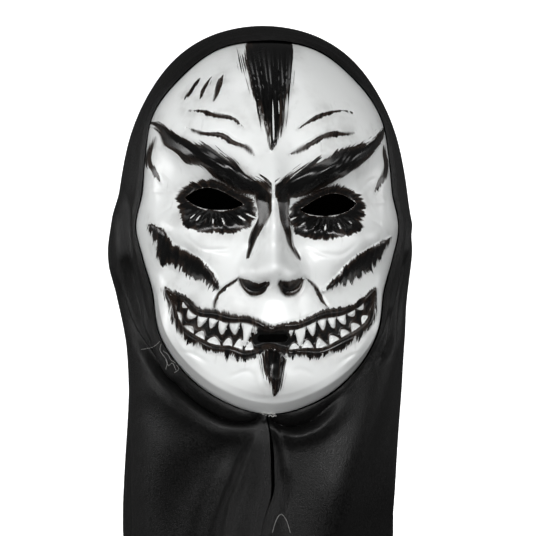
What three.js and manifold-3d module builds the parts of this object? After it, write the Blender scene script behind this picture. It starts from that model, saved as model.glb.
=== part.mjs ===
// A carnival demon mask: a thin formed plastic face that sits in the opening of a black cloth hood.
// Millimetres, +Z up, the face looks along -Y. The origin is where the crown of the head bears
// inside the hood.
import * as THREE from "three";
import { mergeVertices } from "three/addons/utils/BufferGeometryUtils.js";
import Module from "manifold-3d";

const wasm = await Module();
wasm.setup();

// Driving dimensions
const PLASTIC = 1.0; // wall of the face
const CLOTH = 1.2; // wall of the hood
const SEAT_GAP = 0.3; // between the face's side wall and the hood's opening
const RIM_TUCK = 6; // how far the face's rim reaches behind the hood's edge
const HOOD_DROP = 345; // from the crown down to the hem
const SLIT_WIDTH = 1.4; // between the hood's two front edges below the chin
const FACE_MIDDLE = -118; // height of the middle of the face
const SIDE_FULLNESS = 2.6; // how squarely the face turns back into its side wall
const FRONT_FULLNESS = 0.8; // share of that turning that the front has before its crease below the jaw
const CREASE_ROUND = 2; // how softly the front turns into the flange at that crease
const FLANGE_FROM = { start: 112, full: 140 }; // turns from the top between which the flange comes in
const RIM_FADE = 8; // how close to the rim the features reach
const CREASE_FADE = { gone: -0.01, full: 0.05 }; // and how close to the crease, in shares of the reach
const EYE = { x: 31.8, z: -104, long: 32.5, high: 14, lean: 0.11 };
const EYE_TOP = { inner: -4, outer: 4, sag: -3, arch: 3.5 }; // how the upper lid bends
const EYE_BOTTOM = { inner: -12, outer: 10, sag: -1.6, belly: -2.6 }; // how the lower lid bends
const EYE_SKEW = { slope: 0.05, reach: 45 }; // the right eye sits a little lower than the left
const MOUTH = { z: -180.4, long: 17, high: 4.6 };
const GRIN = { reach: 58, rise: 25.4, bend: 1.7, groove: 2.6, half: 5, fade: 81 };

// Mesh steps
const FACE_GRID = 32;
const RIM_DENSITY = 0.3; // how much closer the face's points lie towards its rim
const OUTLINE_STEPS = 108;
const HOOD_TURNS = 54;
const HOOD_ROWS = 23;
const FRONT_DENSITY = 0.25; // how much closer the hood's points lie in front
const ROW_SPREAD = 0.9; // how evenly the hood's rows follow the root of their drop
const PROBE = 0.2; // step for the face's slopes
const HOOD_PROBE = 0.01; // step for the hood's slopes, in radians and roots of drop
const CUT = { eyes: 60, opening: 20, slit: 40, end: 160 }; // forward reach of the cuts from the front

// The face's outline from the front: distance from the middle, by turn from the top down to the chin.
const OUTLINE = [
  { turn: 0, reach: 106.5 },
  { turn: 15, reach: 105.7 },
  { turn: 30, reach: 98.7 },
  { turn: 45, reach: 91.8 },
  { turn: 60, reach: 80.6 },
  { turn: 75, reach: 74.1 },
  { turn: 90, reach: 75.2 },
  { turn: 105, reach: 73.5 },
  { turn: 120, reach: 75.8 },
  { turn: 135, reach: 87.2 },
  { turn: 150, reach: 95.4 },
  { turn: 165, reach: 101.7 },
  { turn: 180, reach: 105.4 },
];

// The flat flange between the crease below the jaw and the rim: its width by turn from the top.
const FLANGE = [
  { turn: 110, width: 1.5 },
  { turn: 130, width: 3 },
  { turn: 150, width: 5 },
  { turn: 180, width: 6.5 },
];

// How far forward the middle of the face stands before its features, by height.
const PROFILE = [
  { z: -12, forward: 86 },
  { z: -50, forward: 99 },
  { z: -100, forward: 102 },
  { z: -150, forward: 104 },
  { z: -190, forward: 106 },
  { z: -224, forward: 104 },
];

// Features raised from or sunk into the face. Those off the middle are on both sides, and lean turns
// them in degrees.
const FEATURES = [
  { name: "forehead", x: 28, z: -48, wide: 24, high: 20, lean: 0, lift: 3 },
  { name: "temple", x: 62, z: -82, wide: 12, high: 22, lean: 0, lift: -6 },
  { name: "brow", x: 35, z: -84, wide: 27, high: 10, lean: 24, lift: 8.5 },
  { name: "frown", x: 0, z: -88, wide: 9, high: 13, lean: 0, lift: 5 },
  { name: "socket", x: 32, z: -103, wide: 20, high: 13, lean: 6, lift: -9 },
  { name: "eye bag", x: 33, z: -119, wide: 19, high: 8, lean: -4, lift: 4 },
  { name: "nose bridge", x: 0, z: -119, wide: 9, high: 23, lean: 0, lift: 14 },
  { name: "nose tip", x: 0, z: -142, wide: 12, high: 10, lean: 0, lift: 13 },
  { name: "nostril", x: 11, z: -145, wide: 7, high: 8, lean: 0, lift: 6 },
  { name: "cheekbone", x: 50, z: -126, wide: 19, high: 10, lean: 24, lift: 8 },
  { name: "cheek hollow", x: 47, z: -148, wide: 20, high: 9, lean: 30, lift: -6 },
  { name: "muzzle", x: 0, z: -174, wide: 34, high: 22, lean: 0, lift: 7 },
  { name: "jaw", x: 48, z: -190, wide: 13, high: 13, lean: 0, lift: 3 },
  { name: "chin", x: 0, z: -205, wide: 19, high: 9, lean: 0, lift: 7 },
];

// The hood's level sections by drop from the crown: half width, reach to the front and to the back,
// and squareness.
const SECTIONS = [
  { drop: 0, half: 0, front: 0, back: 0, square: 2 },
  { drop: 8, half: 35.5, front: 37, back: 42, square: 2 },
  { drop: 17, half: 49, front: 56, back: 60, square: 2.05 },
  { drop: 36, half: 65, front: 76, back: 80, square: 2.1 },
  { drop: 64, half: 78, front: 86, back: 96, square: 2.15 },
  { drop: 102, half: 85.5, front: 90, back: 105, square: 2.2 },
  { drop: 132, half: 89, front: 91, back: 107, square: 2.2 },
  { drop: 160, half: 85, front: 90, back: 103, square: 2.25 },
  { drop: 190, half: 80.5, front: 89.5, back: 97, square: 2.4 },
  { drop: 225, half: 79, front: 89, back: 92, square: 2.6 },
  { drop: 290, half: 79.5, front: 86, back: 93, square: 2.6 },
  { drop: HOOD_DROP, half: 80, front: 85, back: 95, square: 2.5 },
];

// The hood's main folds: turn from the front towards +X in degrees where it starts, the stretch of drop
// that it runs along, and the degrees that it leans round in 100 mm of drop.
const FOLDS = [
  { name: "left cheek bulge", turn: -96, wide: 20, from: 95, to: 190, lift: 3, lean: 0 },
  { name: "right cheek dent", turn: 92, wide: 14, from: 85, to: 215, lift: -2, lean: 0 },
  { name: "right jaw bulge", turn: 86, wide: 15, from: 140, to: 258, lift: 2.4, lean: 0 },
  { name: "right skirt", turn: 82, wide: 20, from: 225, to: 460, lift: -7.5, lean: 0 },
  { name: "right plane", turn: 58, wide: 14, from: 212, to: 460, lift: -8, lean: -14 },
  { name: "left swag", turn: -34, wide: 13, from: 220, to: 310, lift: 3.5, lean: 0 },
  { name: "left hollow", turn: -6, wide: 8, from: 228, to: 440, lift: -4, lean: -28 },
  { name: "left wedge", turn: -4, wide: 6, from: 225, to: 440, lift: 3, lean: -8 },
  { name: "right hollow", turn: 2, wide: 5, from: 228, to: 440, lift: -2.4, lean: 10 },
  { name: "right swag", turn: 30, wide: 15, from: 225, to: 420, lift: 3.5, lean: 0 },
  { name: "left side fall", turn: -92, wide: 13, from: 210, to: 440, lift: -4, lean: 0 },
  { name: "right side fall", turn: 96, wide: 13, from: 210, to: 440, lift: -4, lean: 0 },
  { name: "left ear sweep", turn: -112, wide: 8, from: 40, to: 230, lift: -3, lean: -9 },
  { name: "right ear sweep", turn: 114, wide: 8, from: 50, to: 240, lift: -3, lean: 10 },
  { name: "left neck fold", turn: -112, wide: 6, from: 170, to: 430, lift: 7, lean: -4 },
  { name: "right neck fold", turn: 116, wide: 6, from: 180, to: 430, lift: 7, lean: 3 },
  { name: "left neck crease", turn: -108, wide: 6, from: 120, to: 300, lift: -4, lean: -16 },
  { name: "right neck crease", turn: 110, wide: 6, from: 130, to: 310, lift: -4, lean: 15 },
  { name: "left head fold", turn: -128, wide: 9, from: 50, to: 240, lift: 1.8, lean: -16 },
  { name: "right head fold", turn: 132, wide: 9, from: 60, to: 230, lift: 1.8, lean: 18 },
  { name: "left back fall", turn: -142, wide: 9, from: 170, to: 440, lift: 9, lean: 2 },
  { name: "right back fall", turn: 140, wide: 8, from: 185, to: 440, lift: 9, lean: -3 },
  { name: "left nape fall", turn: -166, wide: 6, from: 195, to: 440, lift: 5, lean: 3 },
  { name: "right nape fall", turn: 164, wide: 7, from: 180, to: 440, lift: 6, lean: 2 },
  { name: "nape", turn: 180, wide: 14, from: 170, to: 440, lift: -6, lean: 1 },
];

// Where the hood's two front edges meet below the chin, by height.
const SLIT = [
  { z: -366, x: -8.5 },
  { z: -350, x: -8 },
  { z: -300, x: -6.2 },
  { z: -287, x: -4.7 },
  { z: -278, x: -2.3 },
  { z: -270, x: 0.4 },
  { z: -254, x: 1 },
  { z: -240, x: 0.3 },
  { z: -231, x: -1 },
  { z: -222, x: -2.6 },
];

const HEM = CLOTH - HOOD_DROP;
const { degToRad, radToDeg, smoothstep, euclideanModulo, lerp } = THREE.MathUtils;

// A smooth curve through one column of a table, read by another column.
function through(rows, key, value) {
  const ordered = [...rows].sort((a, b) => a[key] - b[key]);
  const keys = ordered.map((row) => row[key]);
  const values = ordered.map((row) => row[value]);
  const curve = new THREE.CubicInterpolant(keys, values, 1);
  return (at) => curve.evaluate(at)[0];
}

const outlineReach = through(OUTLINE, "turn", "reach");
const profileForward = through(PROFILE, "z", "forward");
const flangeWidth = through(FLANGE, "turn", "width");

// The crown is round, so the hood's sections are read by the square root of their drop.
const rootedSections = SECTIONS.map((row) => ({ ...row, root: Math.sqrt(row.drop) }));
const sectionHalf = through(rootedSections, "root", "half");
const sectionFront = through(rootedSections, "root", "front");
const sectionBack = through(rootedSections, "root", "back");
const sectionSquare = through(rootedSections, "root", "square");

function reachAt(turnRadians) {
  return outlineReach(Math.min(Math.abs(radToDeg(turnRadians)), 180));
}

// A soft bump, 1 in its middle and gone past its ends
function swell(along) {
  return Math.abs(along) < 1 ? Math.cos((along * Math.PI) / 2) ** 2 : 0;
}

function foldLift(turnRadians, drop) {
  let lift = 0;
  for (const fold of FOLDS) {
    const leaning = degToRad(fold.turn + (fold.lean * (drop - fold.from)) / 100);
    const away = euclideanModulo(turnRadians - leaning + Math.PI, 2 * Math.PI) - Math.PI;
    const across = away / degToRad(2 * fold.wide);
    const middle = (fold.from + fold.to) / 2;
    lift += fold.lift * swell(across) * swell((drop - middle) / (fold.to - middle));
  }
  return lift;
}

// Outer face of the hood. Root is the square root of the drop.
function hoodPoint(turn, root) {
  const across = Math.abs(Math.sin(turn)) / Math.max(sectionHalf(root), 1e-6);
  const isFront = Math.cos(turn) > 0;
  const depth = isFront ? sectionFront(root) : sectionBack(root);
  const along = Math.abs(Math.cos(turn)) / Math.max(depth, 1e-6);
  const square = sectionSquare(root);
  const reach = (across ** square + along ** square) ** (-1 / square) + foldLift(turn, root * root);
  return new THREE.Vector3(reach * Math.sin(turn), -reach * Math.cos(turn), CLOTH - root * root);
}

// How far forward the hood's edge stands where the opening's outline passes through x and z
function hoodEdgeForward(x, z) {
  const root = Math.sqrt(CLOTH - z);
  const square = sectionSquare(root);
  const across = Math.min(Math.abs(x) / sectionHalf(root), 1);
  return sectionFront(root) * (1 - across ** square) ** (1 / square);
}

function featureLift(x, z) {
  const skewed = z + EYE_SKEW.slope * x * Math.exp(-(((z - EYE.z) / EYE_SKEW.reach) ** 2));
  let lift = 0;
  for (const feature of FEATURES) {
    for (const side of feature.x === 0 ? [1] : [1, -1]) {
      const lean = degToRad(feature.lean);
      const right = side * x - feature.x;
      const up = skewed - feature.z;
      const along = (right * Math.cos(lean) + up * Math.sin(lean)) / feature.wide;
      const over = (up * Math.cos(lean) - right * Math.sin(lean)) / feature.high;
      lift += feature.lift * Math.exp(-along * along - over * over);
    }
  }
  const grinHeight = MOUTH.z + GRIN.rise * (Math.abs(x) / GRIN.reach) ** GRIN.bend;
  const grinDepth = Math.exp(-(((z - grinHeight) / GRIN.half) ** 2));
  return lift - GRIN.groove * grinDepth * swell(x / GRIN.fade);
}

// How far the face stands forward at x and z. Below the jaw the front ends in a crease, and the flange
// runs from it straight to the rim.
function faceForward(x, z) {
  const turn = Math.atan2(x, z - FACE_MIDDLE);
  const reach = reachAt(turn);
  const share = Math.min(Math.hypot(x, z - FACE_MIDDLE) / reach, 1);
  const rim = hoodEdgeForward(reach * Math.sin(turn), FACE_MIDDLE + reach * Math.cos(turn)) - RIM_TUCK;
  const stand = profileForward(z) - rim;
  const dome = (part) => stand * Math.sqrt(1 - part ** SIDE_FULLNESS);
  const degrees = Math.abs(radToDeg(turn));
  const crease = 1 - flangeWidth(Math.max(degrees, FLANGE[0].turn)) / reach;
  const front = dome(FRONT_FULLNESS * share);
  const flange = (dome(FRONT_FULLNESS * crease) * (1 - share)) / (1 - crease);
  const creased = (front + flange - Math.hypot(front - flange, CREASE_ROUND)) / 2;
  const belowJaw = smoothstep(degrees, FLANGE_FROM.start, FLANGE_FROM.full);
  const shownAbove = 1 - share ** RIM_FADE;
  const shownBelow = smoothstep(crease - share, CREASE_FADE.gone, CREASE_FADE.full);
  const base = lerp(dome(share), creased, belowJaw);
  return rim + base + featureLift(x, z) * lerp(shownAbove, shownBelow, belowJaw);
}

function faceNormal(x, z) {
  const inward = z > FACE_MIDDLE ? -PROBE : PROBE;
  const towards = x > 0 ? -PROBE : PROBE;
  const here = faceForward(x, z);
  const slopeX = (faceForward(x + towards, z) - here) / towards;
  const slopeZ = (faceForward(x, z + inward) - here) / inward;
  return new THREE.Vector3(-slopeX, -1, -slopeZ).normalize();
}

// Two skins of the same faces, closed by a strip between their edges. Each skin lists its points in the
// same order.
function shellGeometry(outer, inner, faces, edge) {
  const count = outer.length;
  const triangles = [];
  for (const [a, b, c] of faces) {
    triangles.push(a, b, c, count + a, count + c, count + b);
  }
  edge.forEach((here, i) => {
    const next = edge[(i + 1) % edge.length];
    triangles.push(here, count + here, count + next, here, count + next, next);
  });
  const geometry = new THREE.BufferGeometry().setFromPoints([...outer, ...inner]);
  geometry.setIndex(triangles);
  return geometry;
}

function toSolid(geometry) {
  const bare = geometry.clone();
  bare.deleteAttribute("normal");
  bare.deleteAttribute("uv");
  const merged = mergeVertices(bare, 1e-4);
  const vertProperties = merged.attributes.position.array;
  const triVerts = new Uint32Array(merged.index.array);
  return new wasm.Manifold(new wasm.Mesh({ numProp: 3, vertProperties, triVerts }));
}

function toGeometry(solid) {
  const mesh = solid.getMesh();
  const geometry = new THREE.BufferGeometry();
  geometry.setAttribute("position", new THREE.BufferAttribute(mesh.vertProperties, 3));
  geometry.setIndex(new THREE.BufferAttribute(mesh.triVerts, 1));
  return geometry;
}

// A shape drawn from the front, cut straight through from one forward distance to another
function frontCutter(shape, fromForward, toForward) {
  const cutter = new THREE.ExtrudeGeometry(shape, {
    depth: toForward - fromForward,
    bevelEnabled: false,
    curveSegments: 10,
  });
  cutter.rotateX(Math.PI / 2);
  cutter.translate(0, -fromForward, 0);
  return toSolid(cutter);
}

// An almond whose upper lid slopes down towards the nose
function eyeShape(side) {
  const z = EYE.z - EYE_SKEW.slope * side * EYE.x;
  const at = (off, height) => [side * (EYE.x + off), z + height];
  const inner = at(-EYE.long / 2, -EYE.lean * EYE.long);
  const outer = at(EYE.long / 2, 0);
  const shape = new THREE.Shape();
  shape.moveTo(...inner);
  shape.bezierCurveTo(
    ...at(EYE_TOP.inner, EYE.high / 2 + EYE_TOP.sag),
    ...at(EYE_TOP.outer, EYE.high / 2 + EYE_TOP.arch),
    ...outer);
  shape.bezierCurveTo(
    ...at(EYE_BOTTOM.outer, -EYE.high / 2 + EYE_BOTTOM.belly),
    ...at(EYE_BOTTOM.inner, -EYE.high / 2 + EYE_BOTTOM.sag),
    ...inner);
  return shape;
}

function mouthShape() {
  const round = MOUTH.high / 2;
  const straight = MOUTH.long / 2 - round;
  const shape = new THREE.Shape();
  shape.absarc(straight, MOUTH.z, round, -Math.PI / 2, Math.PI / 2);
  shape.absarc(-straight, MOUTH.z, round, Math.PI / 2, (3 * Math.PI) / 2);
  return shape;
}

function outlineShape(grow) {
  const points = [];
  for (let i = 0; i < OUTLINE_STEPS; i++) {
    const turn = (i / OUTLINE_STEPS) * 2 * Math.PI - Math.PI;
    const reach = reachAt(turn) + grow;
    points.push(new THREE.Vector2(reach * Math.sin(turn), FACE_MIDDLE + reach * Math.cos(turn)));
  }
  return new THREE.Shape(points);
}

function slitShape() {
  const beside = (off) => SLIT.map(({ x, z }) => new THREE.Vector2(x + off, z));
  return new THREE.Shape([...beside(SLIT_WIDTH / 2), ...beside(-SLIT_WIDTH / 2).reverse()]);
}

// A square grid drawn out to the face's outline, closer together towards the rim
function facePlace(across, up) {
  const right = across * Math.sqrt(1 - (up * up) / 2);
  const over = up * Math.sqrt(1 - (across * across) / 2);
  const turn = Math.atan2(right, over);
  const even = Math.min(Math.hypot(right, over), 1);
  const share = lerp(even, Math.sin((even * Math.PI) / 2), RIM_DENSITY);
  const reach = share * reachAt(turn);
  return { x: reach * Math.sin(turn), z: FACE_MIDDLE + reach * Math.cos(turn) };
}

function faceGeometry() {
  const outer = [];
  const inner = [];
  const faces = [];
  const side = FACE_GRID + 1;
  for (let row = 0; row < side; row++) {
    for (let column = 0; column < side; column++) {
      const { x, z } = facePlace((2 * column) / FACE_GRID - 1, (2 * row) / FACE_GRID - 1);
      const point = new THREE.Vector3(x, -faceForward(x, z), z);
      outer.push(point);
      inner.push(point.clone().addScaledVector(faceNormal(x, z), -PLASTIC));
      if (row > 0 && column > 0) {
        const here = row * side + column;
        const isSlash = row > FACE_GRID / 2 === column > FACE_GRID / 2;
        const [a, b, c, d] = [here - side - 1, here - side, here, here - 1];
        faces.push(...(isSlash ? [[a, b, d], [b, c, d]] : [[a, b, c], [a, c, d]]));
      }
    }
  }
  const steps = [...Array(FACE_GRID).keys()];
  const edge = [
    ...steps.map((i) => i),
    ...steps.map((i) => FACE_GRID + i * side),
    ...steps.map((i) => side * side - 1 - i),
    ...steps.map((i) => (FACE_GRID - i) * side),
  ];
  let face = toSolid(shellGeometry(outer, inner, faces, edge));
  for (const shape of [eyeShape(-1), eyeShape(1), mouthShape()]) {
    face = face.subtract(frontCutter(shape, CUT.eyes, CUT.end));
  }
  return toGeometry(face);
}

function hoodNormal(turn, root) {
  const here = hoodPoint(turn, root);
  const alongTurn = hoodPoint(turn + HOOD_PROBE, root).sub(here);
  const alongDrop = hoodPoint(turn, root + HOOD_PROBE).sub(here);
  return alongDrop.cross(alongTurn).normalize();
}

function hoodGeometry() {
  const outer = [new THREE.Vector3(0, 0, CLOTH)];
  const inner = [new THREE.Vector3(0, 0, 0)];
  const faces = [];
  const edge = [];
  for (let row = 1; row <= HOOD_ROWS; row++) {
    const root = Math.sqrt(HOOD_DROP) * (row / HOOD_ROWS) ** ROW_SPREAD;
    for (let i = 0; i < HOOD_TURNS; i++) {
      const even = (i / HOOD_TURNS) * 2 * Math.PI;
      const turn = even - FRONT_DENSITY * Math.sin(even);
      const point = hoodPoint(turn, root);
      const inside = point.clone().addScaledVector(hoodNormal(turn, root), -CLOTH);
      const here = outer.length;
      const next = here - i + ((i + 1) % HOOD_TURNS);
      if (row === 1) {
        faces.push([0, here, next]);
      } else {
        faces.push([here - HOOD_TURNS, here, next], [here - HOOD_TURNS, next, next - HOOD_TURNS]);
      }
      if (row === HOOD_ROWS) {
        inside.z = HEM;
        edge.push(here);
      }
      outer.push(point);
      inner.push(inside);
    }
  }
  const hood = toSolid(shellGeometry(outer, inner, faces, edge))
    .subtract(frontCutter(outlineShape(SEAT_GAP), CUT.opening, CUT.end))
    .subtract(frontCutter(slitShape(), CUT.slit, CUT.end));
  return toGeometry(hood);
}

const paintedPlastic = new THREE.MeshStandardMaterial({ color: 0xe8eae8, roughness: 0.25, metalness: 0 });
const blackSatin = new THREE.MeshStandardMaterial({ color: 0x141414, roughness: 0.55, metalness: 0 });

const mask = new THREE.Group();
const pieces = [
  { name: "face_shell", geometry: faceGeometry(), material: paintedPlastic },
  { name: "hood", geometry: hoodGeometry(), material: blackSatin },
];
for (const piece of pieces) {
  const mesh = new THREE.Mesh(piece.geometry, piece.material);
  mesh.name = piece.name;
  mask.add(mesh);
}

export default mask;
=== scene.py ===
# A carnival demon mask: a glossy white plastic face with black brushed paint, sewn into a black satin hood.
import math

import bpy
import numpy as np
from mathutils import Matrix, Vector
from mathutils.bvhtree import BVHTree


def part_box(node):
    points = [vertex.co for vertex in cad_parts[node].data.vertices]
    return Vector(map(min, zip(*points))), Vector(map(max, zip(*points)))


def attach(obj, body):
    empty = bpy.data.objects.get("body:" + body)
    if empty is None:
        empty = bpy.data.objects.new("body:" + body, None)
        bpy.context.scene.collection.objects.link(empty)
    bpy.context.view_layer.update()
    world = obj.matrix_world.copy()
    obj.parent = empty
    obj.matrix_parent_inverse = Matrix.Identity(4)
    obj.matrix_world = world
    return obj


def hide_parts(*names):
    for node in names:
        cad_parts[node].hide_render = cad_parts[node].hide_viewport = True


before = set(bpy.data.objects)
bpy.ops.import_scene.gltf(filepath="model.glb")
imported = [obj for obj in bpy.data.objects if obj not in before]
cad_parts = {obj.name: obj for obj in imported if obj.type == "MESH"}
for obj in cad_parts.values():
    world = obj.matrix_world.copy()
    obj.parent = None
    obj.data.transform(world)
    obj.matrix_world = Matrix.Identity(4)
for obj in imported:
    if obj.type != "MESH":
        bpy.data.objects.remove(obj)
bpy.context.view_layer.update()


# The face
# One thin sheet of white plastic, pulled over a mould and trimmed along its rim. The eye holes and the
# mouth slit are cut afterwards. Lengths are in millimetres, and MM turns them into the frame's metres.
MM = 0.001
PLASTIC_WALL = 1.0
RIM_TUCK = 6
FACE_MIDDLE = -118
SIDE_FULLNESS = 2.6
FACE_GRID = 280
RIM_DENSITY = 0.45
FACE_SHARP = math.radians(50)
EYE = dict(x=31.8, z=-104, long=32.5, high=14, lean=0.11, above=0.52, tail=0.2)
EYE_TOP = dict(inner=-4, outer=4, sag=-3, arch=3.5)
EYE_BOTTOM = dict(inner=-12, outer=10, sag=-1.6, belly=-2.6)
# The right eye sits a little lower than the left: the slope, and how far above and below it fades.
EYE_SKEW = 0.05
EYE_SKEW_REACH = 45
MOUTH = dict(z=-180.4, long=17, high=4.6)
HOOD_WALL = 1.2

# The outline from the front: distance from the middle of the face, by turn from the top down to the chin.
OUTLINE_TURN = np.radians(np.arange(0, 181, 15))
OUTLINE_REACH = [106.5, 105.7, 98.7, 91.8, 80.6, 74.1, 75.2, 73.5, 75.8, 87.2, 95.4, 101.7, 105.4]

# How far forward the middle of the face stands, by height.
PROFILE_HEIGHT = [-224, -190, -150, -100, -50, -12]
PROFILE_FORWARD = [104, 106, 104, 102, 99, 86]

# Soft forms of the face, on both sides where they lie off the middle. Lean is in degrees.
FACE_FORMS = [
    dict(name="forehead", x=28, z=-48, wide=24, high=20, lean=0, lift=3),
    dict(name="temple", x=62, z=-82, wide=12, high=22, lean=0, lift=-6),
    dict(name="brow", x=35, z=-84, wide=27, high=8, lean=24, lift=9),
    dict(name="frown", x=0, z=-88, wide=9, high=13, lean=0, lift=5),
    dict(name="socket", x=32, z=-103, wide=20, high=12, lean=6, lift=-10),
    dict(name="eye bag", x=33, z=-119, wide=19, high=6, lean=-4, lift=5),
    dict(name="nose bridge", x=0, z=-119, wide=8, high=23, lean=0, lift=15),
    dict(name="nose tip", x=0, z=-142, wide=10, high=9, lean=0, lift=14),
    dict(name="nostril", x=11, z=-145, wide=6, high=7, lean=0, lift=9),
    dict(name="cheekbone", x=50, z=-126, wide=19, high=10, lean=24, lift=8),
    dict(name="cheek hollow", x=47, z=-148, wide=20, high=9, lean=30, lift=-8),
    dict(name="muzzle", x=0, z=-174, wide=34, high=22, lean=0, lift=7),
    dict(name="jaw", x=48, z=-190, wide=13, high=13, lean=0, lift=3),
    dict(name="chin", x=0, z=-205, wide=19, high=9, lean=0, lift=7),
]

# The hood's level sections, which the face's rim follows: drop from the crown, half width, front, back and
# squareness.
SECTION_DROP = [0, 8, 17, 36, 64, 102, 132, 160, 190, 225, 290, 345]
SECTION_HALF = [0, 35.5, 49, 65, 78, 85.5, 89, 85, 80.5, 79, 79.5, 80]
SECTION_FRONT = [0, 37, 56, 76, 86, 90, 91, 90, 89.5, 89, 86, 85]
SECTION_BACK = [0, 42, 60, 80, 96, 105, 107, 103, 97, 92, 93, 95]
SECTION_SQUARE = [2, 2, 2.05, 2.1, 2.15, 2.2, 2.2, 2.25, 2.4, 2.6, 2.6, 2.5]


def smooth_curve(keys, values, level_ends=False):
    keys = np.array(keys, float)
    values = np.array(values, float)
    slopes = np.gradient(values, keys)
    if level_ends:
        slopes[[0, -1]] = 0

    def at(key):
        key = np.clip(key, keys[0], keys[-1])
        i = np.clip(np.searchsorted(keys, key) - 1, 0, len(keys) - 2)
        step = keys[i + 1] - keys[i]
        t = (key - keys[i]) / step
        start = (1 + 2 * t) * (1 - t) ** 2 * values[i] + t * (1 - t) ** 2 * step * slopes[i]
        return start + t * t * (3 - 2 * t) * values[i + 1] + t * t * (t - 1) * step * slopes[i + 1]

    return at


outline_reach = smooth_curve(OUTLINE_TURN, OUTLINE_REACH, level_ends=True)
profile_forward = smooth_curve(PROFILE_HEIGHT, PROFILE_FORWARD)
section_root = np.sqrt(SECTION_DROP)
section_half = smooth_curve(section_root, SECTION_HALF)
section_front = smooth_curve(section_root, SECTION_FRONT)
section_back = smooth_curve(section_root, SECTION_BACK)
section_square = smooth_curve(section_root, SECTION_SQUARE)


def ease(value, low, high):
    """0 below low, 1 above high and smooth between them"""
    t = np.clip((value - low) / (high - low), 0, 1)
    return t * t * (3 - 2 * t)


def swell(along):
    """A soft bump that is 1 in its middle and gone past its ends"""
    return np.where(np.abs(along) < 1, np.cos(along * np.pi / 2) ** 2, 0)


def rim_share(x, z):
    """How far out a place lies towards the outline, which is 1, and its turn from the top"""
    turn = np.arctan2(x, z - FACE_MIDDLE)
    return np.hypot(x, z - FACE_MIDDLE) / outline_reach(np.abs(turn)), turn


def hood_edge_forward(x, z):
    root = np.sqrt(np.maximum(HOOD_WALL - z, 0))
    square = section_square(root)
    across = np.minimum(np.abs(x) / np.maximum(section_half(root), 1e-6), 1)
    return section_front(root) * (1 - across**square) ** (1 / square)


def skewed(x, z):
    """Heights as they would be if the two eyes were level"""
    return z + EYE_SKEW * x * np.exp(-(((z - EYE["z"]) / EYE_SKEW_REACH) ** 2))


def route(points, steps=96):
    """A smooth line through a few places, as evenly spread points"""
    points = np.array(points, float)
    knots = np.arange(len(points))
    fine = np.linspace(0, len(points) - 1, steps)
    line = np.stack([smooth_curve(knots, column)(fine) for column in points.T], axis=1)
    length = np.concatenate([[0], np.cumsum(np.linalg.norm(np.diff(line, axis=0), axis=1))])
    even = np.linspace(0, length[-1], steps)
    return np.stack([np.interp(even, length, column) for column in line.T], axis=1), length[-1]


def beside(points, x, z):
    """Signed distance from a line, positive to its left, and the share and length of it up to there"""
    line, length = route(points)
    best = np.full(x.shape, 1e9)
    side = np.zeros(x.shape)
    share = np.zeros(x.shape)
    for i, (start, end) in enumerate(zip(line[:-1], line[1:])):
        way = end - start
        t = np.clip(((x - start[0]) * way[0] + (z - start[1]) * way[1]) / (way @ way), 0, 1)
        off_x = x - start[0] - t * way[0]
        off_z = z - start[1] - t * way[1]
        away = np.hypot(off_x, off_z)
        nearer = away < best
        best = np.where(nearer, away, best)
        side = np.where(nearer, np.sign(way[0] * off_z - way[1] * off_x), side)
        share = np.where(nearer, (i + t) / (len(line) - 1), share)
    return best * np.where(side == 0, 1, side), share, share * length


def eye_outline(side, steps=40):
    """An almond whose upper lid slopes down towards the nose"""
    z = EYE["z"] - EYE_SKEW * side * EYE["x"]
    inner = np.array([EYE["x"] - EYE["long"] / 2, z - EYE["lean"] * EYE["long"]])
    outer = np.array([EYE["x"] + EYE["long"] / 2, z + EYE["tail"]])
    top = np.array([EYE["x"], z + EYE["high"] * EYE["above"]])
    bottom = top - [0, EYE["high"]]
    upper = [top + [EYE_TOP["inner"], EYE_TOP["sag"]], top + [EYE_TOP["outer"], EYE_TOP["arch"]]]
    lower = [
        bottom + [EYE_BOTTOM["outer"], EYE_BOTTOM["belly"]],
        bottom + [EYE_BOTTOM["inner"], EYE_BOTTOM["sag"]],
    ]
    points = []
    for a, b, c, d in ([inner, *upper, outer], [outer, *lower, inner]):
        for t in np.arange(steps) / steps:
            points.append((1 - t) ** 3 * a + 3 * t * (1 - t) ** 2 * b + 3 * t * t * (1 - t) * c + t**3 * d)
    return np.array(points) * [side, 1]


def mouth_outline(steps=16):
    round_end = MOUTH["high"] / 2
    straight = MOUTH["long"] / 2 - round_end
    angles = np.linspace(-np.pi / 2, np.pi / 2, steps)
    right = np.stack([straight + round_end * np.cos(angles), round_end * np.sin(angles)], axis=1)
    return np.concatenate([right, -right]) + [0, MOUTH["z"]]


def around(outline, x, z):
    """Distance outside a closed outline, negative inside it"""
    best = np.full(x.shape, 1e9)
    inside = np.zeros(x.shape, bool)
    for start, end in zip(outline, np.roll(outline, -1, axis=0)):
        way = end - start
        t = np.clip(((x - start[0]) * way[0] + (z - start[1]) * way[1]) / max(way @ way, 1e-9), 0, 1)
        best = np.minimum(best, np.hypot(x - start[0] - t * way[0], z - start[1] - t * way[1]))
        crosses = (start[1] > z) != (end[1] > z)
        rise = end[1] - start[1]
        reach = start[0] + (z - start[1]) * way[0] / (rise if rise else 1e-9)
        inside ^= crosses & (x < reach)
    return np.where(inside, -best, best)


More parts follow.
